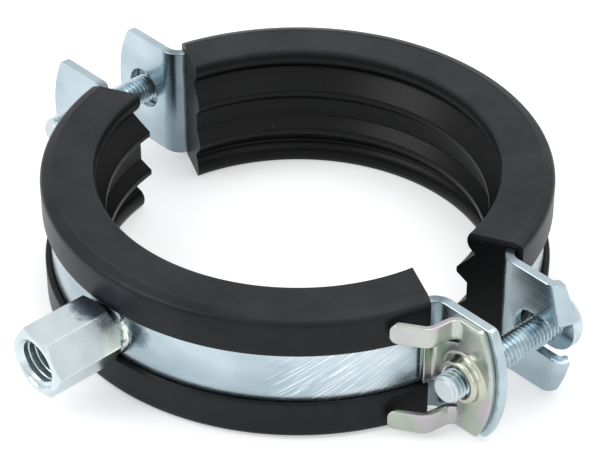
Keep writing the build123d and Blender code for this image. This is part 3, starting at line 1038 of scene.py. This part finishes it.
def sink_box(head, x, head_y, wide, long, depth, draft):
    """Cuts a box into a head, its sizes counted from its middle, drawn in by a draft at its floor."""
    box = bmesh.new()
    bmesh.ops.create_cube(box, size=2.0)
    for vert in box.verts:
        taper = draft if vert.co.y < 0 else 1.0
        vert.co = (x + vert.co.x * wide * taper, head_y + vert.co.y * depth,
                   vert.co.z * long * taper)
    mesh = bpy.data.meshes.new(head.name + "_cutter")
    box.to_mesh(mesh)
    box.free()
    cutter = bpy.data.objects.new(mesh.name, mesh)
    bpy.context.scene.collection.objects.link(cutter)
    cut = head.modifiers.new("Recess", "BOOLEAN")
    cut.operation = "DIFFERENCE"
    cut.solver = "EXACT"
    cut.object = cutter
    return cutter


def make_screw(name, x, head_y, tip_y, settings, material):
    """A pan-head screw along -Y with a rolled thread and a cross and slot in its head."""
    top = head_y - settings.head_h
    shank = make_shank(name, x, top, top - tip_y, settings, material)
    head = make_head(name + "_head", x, top, settings, material)
    half_w, half_c = settings.recess_w / 2, settings.recess_cross / 2
    cutters = [sink_box(head, x, head_y, wide, long, depth, draft) for wide, long, depth, draft in (
        (half_w, half_c, settings.recess_depth, RECESS_DRAFT),
        (half_c, half_w, settings.recess_depth, RECESS_DRAFT),
        (2 * HEAD_R, half_w, settings.slot_depth, 1.0))]
    bpy.context.view_layer.update()
    graph = bpy.context.evaluated_depsgraph_get()
    carved = bpy.data.meshes.new_from_object(head.evaluated_get(graph))
    both = bmesh.new()
    both.from_mesh(shank.data)
    both.from_mesh(carved)
    shade(both, 32.0)
    both.to_mesh(shank.data)
    both.free()
    for spare in [head, *cutters]:
        bpy.data.objects.remove(spare)
    return shank


# Boss


def hexagon(turn, across, corner):
    """Radius of a hexagon with corners at 0 degrees, rounded off at a corner radius."""
    sixth = math.pi / 3
    off = (turn % sixth) - sixth / 2
    return min(across / math.cos(off), corner)


def make_boss(settings, material):
    """The welded hexagon boss: chamfered bar, neck, weld bead and two threads in one bore."""
    long = -BOSS_TIP - BAND_OUT
    prism = long - settings.neck_len
    in_band = 0.2 * MM
    off_band = 0.02 * MM
    inner_end = long + in_band
    corner = BOSS_CORNER - settings.corner_cut
    slope = settings.chamfer / (BOSS_CORNER - settings.face_r)
    neck_r = settings.neck_d / 2
    deep_r = settings.deep_d / 2
    mouth_r = settings.mouth_d / 2 + settings.mouth_cone
    weld = settings.weld
    turns = [math.radians(60 * k + step) for k in range(6) for step in HEXAGON_STEPS]
    turns.append(turns[0] + math.tau)

    def ring(depth, radius):
        """A ring of (turn, depth behind the face, radius), from numbers or functions of the turn."""
        return [(t, depth(t) if callable(depth) else depth, radius(t) if callable(radius) else radius)
                for t in turns]

    def side(turn):
        """Radius of the hexagon."""
        return hexagon(turn, BOSS_FLAT, corner)

    def chamfered(turn):
        """How far the chamfer reaches along the hexagon's side."""
        return max(0.0, (side(turn) - settings.face_r) * slope)

    def band_depth(turn, radius):
        """Depth at which a point over the band's round side touches it."""
        x = radius * math.cos(turn)
        return -BOSS_TIP - math.sqrt((BAND_OUT + off_band) ** 2 - x * x)

    def lump(turn):
        """How uneven the weld bead is."""
        waves = ((0.14, 3, 0.7), (0.09, 7, 2.0), (0.04, 13, 0.0))
        return MM * sum(high * math.sin(count * turn + shift) for high, count, shift in waves)

    def thread(major, core, pitch, start, end, mouth):
        """An inside thread from one depth to another, opened by a cone at its mouth."""
        root, crest = major / 2, core / 2
        steps, floor, flank = 16, 0.15, 0.25
        profile = []
        for k in range(steps):
            rise = min(1.0, max(0.0, (abs(k / steps - 0.5) - floor) / flank))
            profile.append((k / steps, crest + (root - crest) * (1 - rise)))

        def cap(along, radius):
            """Radius of the thread, opened by the cone at the mouth."""
            if along >= end - HAIR:
                return crest
            opened = mouth - (along - start)
            return mouth if along <= start + HAIR else max(radius, opened)

        return helix_rows(profile, pitch, start, end, turns, cap)

    outside = [
        ring(lambda t: band_depth(t, deep_r), deep_r),
        ring(lambda t: band_depth(t, neck_r + weld), neck_r + weld),
        ring(lambda t: band_depth(t, neck_r) - weld * 0.35, lambda t: neck_r + weld * 0.85 + lump(t)),
        ring(lambda t: band_depth(t, neck_r) - weld * 0.8 - lump(t), neck_r + weld * 0.4),
        ring(lambda t: band_depth(t, neck_r) - weld * 1.05 - lump(t), neck_r),
        ring(prism, neck_r),
        ring(prism, settings.face_r),
        ring(lambda t: prism - chamfered(t), side),
        ring(chamfered, side),
        ring(0.0, settings.face_r),
        ring(0.0, mouth_r),
    ]
    mouth_thread = thread(settings.mouth_major, settings.mouth_d, settings.mouth_pitch,
                          0.0, settings.mouth_depth, mouth_r)
    deep_thread = thread(settings.deep_major, settings.deep_d, settings.deep_pitch,
                         settings.mouth_depth, inner_end, deep_r)
    step = [ring(settings.mouth_depth, settings.mouth_d / 2), ring(settings.mouth_depth, deep_r)]
    foot = [ring(inner_end, deep_r), outside[0]]
    points, faces = [], []
    for rows in (outside, mouth_thread, deep_thread, step, foot):
        faces += grid_faces(rows, len(points))
        points += [(r * math.cos(t), BOSS_TIP + depth, r * math.sin(t))
                   for row in rows for t, depth, r in row]
    return new_piece("threaded_boss_turned", points, faces, material, smooth_to=28.0)


# Lock clip


def collar_outline(settings):
    """The drawn collar's outline in radius and height over the plate, closed below its face."""
    bore_r = settings.bore_d / 2
    collar_r = settings.collar_d / 2
    rise = settings.collar_h
    root = settings.collar_root
    soft = settings.collar_top
    sunk = -0.3 * MM
    outline = [(bore_r, sunk), (collar_r + root, sunk), (collar_r + root, 0.0)]
    outline += arc_points((collar_r + root, root), root, -math.pi / 2, -math.pi, count=6)[1:]
    outline += arc_points((collar_r - soft, rise - soft), soft, 0.0, math.pi / 2, count=6)
    outline += arc_points((bore_r + soft, rise - soft), soft, math.pi / 2, math.pi, count=6)
    return [*outline, (bore_r, sunk)]


def make_clip(settings, material):
    """The spring clip: bowed plate, two arms, tongue and drawn collar."""
    half_t = settings.thickness / 2
    plate_y = CLIP_HIGH.y - half_t
    plate_end = CLIP_HIGH.x
    half = CLIP_HIGH.z
    start = Vector((plate_end, plate_y))
    root_x = BAND_OUT + settings.slit_root
    arm_x = BAND_OUT + settings.arm_root
    tip_at = LINER_OUT + settings.tip_gap + half_t
    tip = Vector((tip_at * math.cos(settings.arm_turn), -tip_at * math.sin(settings.arm_turn)))
    knee = Vector((arm_x, plate_y))
    lean = 1 * MM
    elbow = Vector((arm_x - lean, plate_y - settings.arm_drop))
    arm, arm_end = bent_path(start, [knee, elbow, tip], [settings.bend_r] * 2)
    bears_at = math.radians(14)
    fit = 0.1 * MM
    foot_x = BAND_OUT * math.cos(bears_at) + settings.tongue_bend + half_t + fit
    heel = Vector((foot_x - settings.tongue_bend, plate_y))
    toe = Vector((heel.x, plate_y - settings.tongue_bend - settings.tongue_foot))
    heel_share = 0.98
    tongue, tongue_end = bent_path(start, [heel, toe], [settings.tongue_bend * heel_share])
    slit_mid = half - settings.arm_w - settings.arm_slit / 2
    root_s = plate_end - root_x

    def place(s, z, height):
        """A point of the flat pattern on the bent clip. Heights count away from the ear."""
        path = arm if s > root_s and abs(z) > slit_mid else tongue
        x, y = path.off(s, height)
        return x, y, z

    plate = bowed_end(plate_end, settings.bow, settings.corner_r, half)
    end = [(plate_end - x, -y) for x, y in reversed(plate)]
    arm_in = half - settings.arm_w
    bend_s = plate_end - foot_x
    tongue_half = settings.tongue_end / 2
    slit = arc_points((root_s + settings.arm_slit / 2, slit_mid), settings.arm_slit / 2,
                      math.pi / 2, math.pi * 1.5, count=8)
    tip_r = settings.tip_r
    finger = arc_points((arm_end - tip_r, half - tip_r), tip_r, math.pi / 2, 0.0, count=7)
    finger += arc_points((arm_end - tip_r, arm_in + tip_r), tip_r, 0.0, -math.pi / 2, count=7)
    corner = 0.5 * MM
    lip = rounded([(bend_s, tongue_half), (tongue_end, tongue_half), (tongue_end, 0.0)],
                  [0.0, corner, 0.0], count=4)
    upper = finger + slit + lip[:-1]
    lower = [(s, -z) for s, z in reversed(upper)]
    rim_step = 0.4 * MM
    clearance = 0.45 * MM
    outline = spaced(end + upper + lower, rim_step)
    screw_s = plate_end - SCREW_X
    hole = circle(screw_s, 0.0, settings.bore_d, count=48)
    count_s = round(arm_end / settings.grid)
    row_share = 1.6
    count_z = round(2 * half / (row_share * settings.grid))
    inner = [(arm_end * i / count_s, half * (2 * k / count_z - 1))
             for i in range(1, count_s) for k in range(1, count_z)]
    inner = clear_points(inner, [outline, hole], clearance)
    inner = [p for p in inner if inside(p, outline) and not inside(p, hole)]
    points, faces, uvs = pressed_sheet(outline, [hole], inner, settings.thickness, settings.edge_r, place)

    rows = turned_rows(collar_outline(settings))
    first = len(points)
    points += [down_y(SCREW_X, plate_y - half_t, *spot) for row in rows for spot in row]
    uvs += [(in_cm(plate_end - x), in_cm(z)) for x, _, z in points[first:]]
    faces += grid_faces(rows, first)
    piece = new_piece("lock_clip_spring", points, faces, material, uvs=uvs)
    weigh_normals(piece)
    return piece


# Operators


class CLAMP_OT_strip(bpy.types.Operator):
    """Make both halves of the strip"""
    bl_idname = "clamp.strip"
    bl_label = "Strip halves"

    def execute(self, context):
        settings = context.scene.clamp_strip
        ear_start, arc_end = strip_path(settings)[1::2]
        zinc = rolled_zinc("rolled_zinc", settings, (ear_start + arc_end) / 2)
        front = make_strip("front_band_strip", True, False, settings, zinc)
        seat(front, "front_half", ["front_band"])
        rear = make_strip("rear_band_strip", False, True, settings, zinc)
        seat(rear, "rear_half", ["rear_band"])
        return {"FINISHED"}


class CLAMP_OT_liners(bpy.types.Operator):
    """Make both ribbed liners"""
    bl_idname = "clamp.liners"
    bl_label = "Rubber liners"

    def execute(self, context):
        settings = context.scene.clamp_rubber
        rubber = moulded_rubber("moulded_rubber", settings)
        front = make_liner("front_liner_ribbed", True, settings, rubber)
        seat(front, "front_half", ["front_liner"])
        rear = make_liner("rear_liner_ribbed", False, settings, rubber)
        seat(rear, "rear_half", ["rear_liner"])
        return {"FINISHED"}


class CLAMP_OT_screws(bpy.types.Operator):
    """Make the hinge screw and the closing screw"""
    bl_idname = "clamp.screws"
    bl_label = "Screws"

    def execute(self, context):
        settings = context.scene.clamp_screws
        zinc = turned_zinc("screw_zinc", settings)
        hinge = make_screw("hinge_screw_threaded", -SCREW_X, HINGE_HIGH.y, HINGE_LOW.y, settings, zinc)
        seat(hinge, "hinge_screw", ["hinge_screw"])
        closing = make_screw("closing_screw_threaded", SCREW_X, CLOSING_HIGH.y, CLOSING_LOW.y,
                             settings, zinc)
        seat(closing, "closing_screw", ["closing_screw"])
        return {"FINISHED"}


class CLAMP_OT_boss(bpy.types.Operator):
    """Make the welded hexagon boss"""
    bl_idname = "clamp.boss"
    bl_label = "Welded boss"

    def execute(self, context):
        settings = context.scene.clamp_boss
        boss = make_boss(settings, welded_zinc("boss_zinc", settings))
        seat(boss, "front_half", ["threaded_boss"])
        return {"FINISHED"}


class CLAMP_OT_clip(bpy.types.Operator):
    """Make the threaded spring clip"""
    bl_idname = "clamp.clip"
    bl_label = "Lock clip"

    def execute(self, context):
        settings = context.scene.clamp_clip
        clip = make_clip(settings, passivated_zinc("passivated_zinc", settings))
        seat(clip, "front_half", ["lock_clip"])
        return {"FINISHED"}


class CLAMP_OT_stage(bpy.types.Operator):
    """Set the floor, the lamps and the camera"""
    bl_idname = "clamp.stage"
    bl_label = "Stage and camera"

    def execute(self, context):
        settings = context.scene.clamp_stage
        scene = context.scene
        scene.view_settings.view_transform = "Standard"
        set_floor(settings)
        set_sky(settings)
        set_lamps()
        set_camera(settings)
        return {"FINISHED"}


def seen_rays(tree):
    """1 for rays from the camera, from gloss and through glass, and 0 for the rest."""
    path = tree.nodes.new("ShaderNodeLightPath")
    seen = path.outputs["Is Camera Ray"]
    for name in ("Is Glossy Ray", "Is Transmission Ray"):
        most = tree.nodes.new("ShaderNodeMath")
        most.operation = "MAXIMUM"
        tree.links.new(seen, most.inputs[0])
        tree.links.new(path.outputs[name], most.inputs[1])
        seen = most.outputs["Value"]
    return seen


def set_floor(settings):
    """A plain pale floor that the clamp lies on, lifted to white in view and keeping its shadow."""
    finish = Finish("pale_floor")
    finish.base(Base_Color=settings.floor_colour[:], Roughness=0.9, Specular_IOR_Level=0.0,
                Emission_Color=(1.0, 1.0, 1.0))
    lift = finish.math("MULTIPLY", seen_rays(finish.tree), settings.floor_lift)
    finish.join(lift, finish.shader.inputs["Emission Strength"])
    half = settings.floor_size / 2
    low = -LINER_HALF - SEAM
    corners = [(-half, -half, low), (half, -half, low),
               (half, half, low), (-half, half, low)]
    floor = new_piece("floor", corners, [(0, 1, 2, 3)], finish.material)


def set_sky(settings):
    """Plain soft light all round, seen as white."""
    world = bpy.data.worlds.new("studio")
    bpy.context.scene.world = world
    world.use_nodes = True
    tree = world.node_tree
    background = tree.nodes["Background"]
    background.inputs["Color"].default_value = (1.0, 1.0, 1.0, 1.0)
    strength = tree.nodes.new("ShaderNodeMapRange")
    strength.inputs["To Min"].default_value = settings.sky
    strength.inputs["To Max"].default_value = 1.0
    tree.links.new(seen_rays(tree), strength.inputs["Value"])
    tree.links.new(strength.outputs["Result"], background.inputs["Strength"])


def set_lamps():
    """Three soft boxes: the key over the boss side, a fill, and one above and behind."""
    for name, place, size, power in (
            ("key", (-0.35, -0.75, 0.75), 0.6, 4.5),
            ("fill", (0.9, -0.3, 0.55), 0.7, 1.2),
            ("top", (0.1, 0.35, 1.0), 0.8, 4.0)):
        lamp = bpy.data.lights.new(name, "AREA")
        lamp.shape = "SQUARE"
        lamp.size = size
        lamp.energy = power
        holder = bpy.data.objects.new(name, lamp)
        holder.location = place
        holder.rotation_euler = (-Vector(place)).to_track_quat("-Z", "Y").to_euler()
        bpy.context.scene.collection.objects.link(holder)


def set_camera(settings):
    """The camera at the photograph's angle."""
    turn, rise = settings.azimuth, settings.elevation
    back = Vector((math.sin(turn) * math.cos(rise), -math.cos(turn) * math.cos(rise), math.sin(rise)))
    right = Vector((math.cos(turn), math.sin(turn), 0.0))
    up = back.cross(right)
    camera = bpy.data.cameras.new("camera")
    camera.sensor_width = 36.0
    camera.lens = settings.focal
    camera.clip_start = 0.01
    camera.clip_end = 20.0
    holder = bpy.data.objects.new("camera", camera)
    spot = back * settings.distance + right * settings.slide_right - up * settings.slide_down
    turned = Matrix((right, up, back)).transposed().to_4x4()
    holder.matrix_world = Matrix.Translation(spot) @ turned
    bpy.context.scene.collection.objects.link(holder)
    bpy.context.scene.camera = holder


class CLAMP_PT_panel(bpy.types.Panel):
    """Lists the pieces of the clamp with their settings"""
    bl_idname = "CLAMP_PT_panel"
    bl_label = "Pipe clamp"
    bl_space_type = "VIEW_3D"
    bl_region_type = "UI"
    bl_category = "Pipe clamp"

    def draw(self, context):
        for operator, group in STEPS:
            box = self.layout.box()
            box.operator(operator)
            settings = getattr(context.scene, group)
            for name in settings.__annotations__:
                box.prop(settings, name)


GROUPS = {
    "clamp_strip": StripSettings,
    "clamp_rubber": RubberSettings,
    "clamp_screws": ScrewSettings,
    "clamp_boss": BossSettings,
    "clamp_clip": ClipSettings,
    "clamp_stage": StageSettings,
}
STEPS = (
    ("clamp.strip", "clamp_strip"),
    ("clamp.liners", "clamp_rubber"),
    ("clamp.screws", "clamp_screws"),
    ("clamp.boss", "clamp_boss"),
    ("clamp.clip", "clamp_clip"),
    ("clamp.stage", "clamp_stage"),
)
CLASSES = (
    *GROUPS.values(), CLAMP_OT_strip, CLAMP_OT_liners, CLAMP_OT_screws, CLAMP_OT_boss,
    CLAMP_OT_clip, CLAMP_OT_stage, CLAMP_PT_panel,
)


def register():
    """Registers the classes and the settings on the scene."""
    for kind in CLASSES:
        bpy.utils.register_class(kind)
    for name, group in GROUPS.items():
        setattr(bpy.types.Scene, name, PointerProperty(type=group))


def unregister():
    """Takes the settings and the classes away again."""
    for name in GROUPS:
        delattr(bpy.types.Scene, name)
    for kind in reversed(CLASSES):
        bpy.utils.unregister_class(kind)


def main():
    """Makes every piece and the stage."""
    register()
    bpy.ops.clamp.strip()
    bpy.ops.clamp.liners()
    bpy.ops.clamp.screws()
    bpy.ops.clamp.boss()
    bpy.ops.clamp.clip()
    bpy.ops.clamp.stage()


if __name__ == "__main__":
    main()
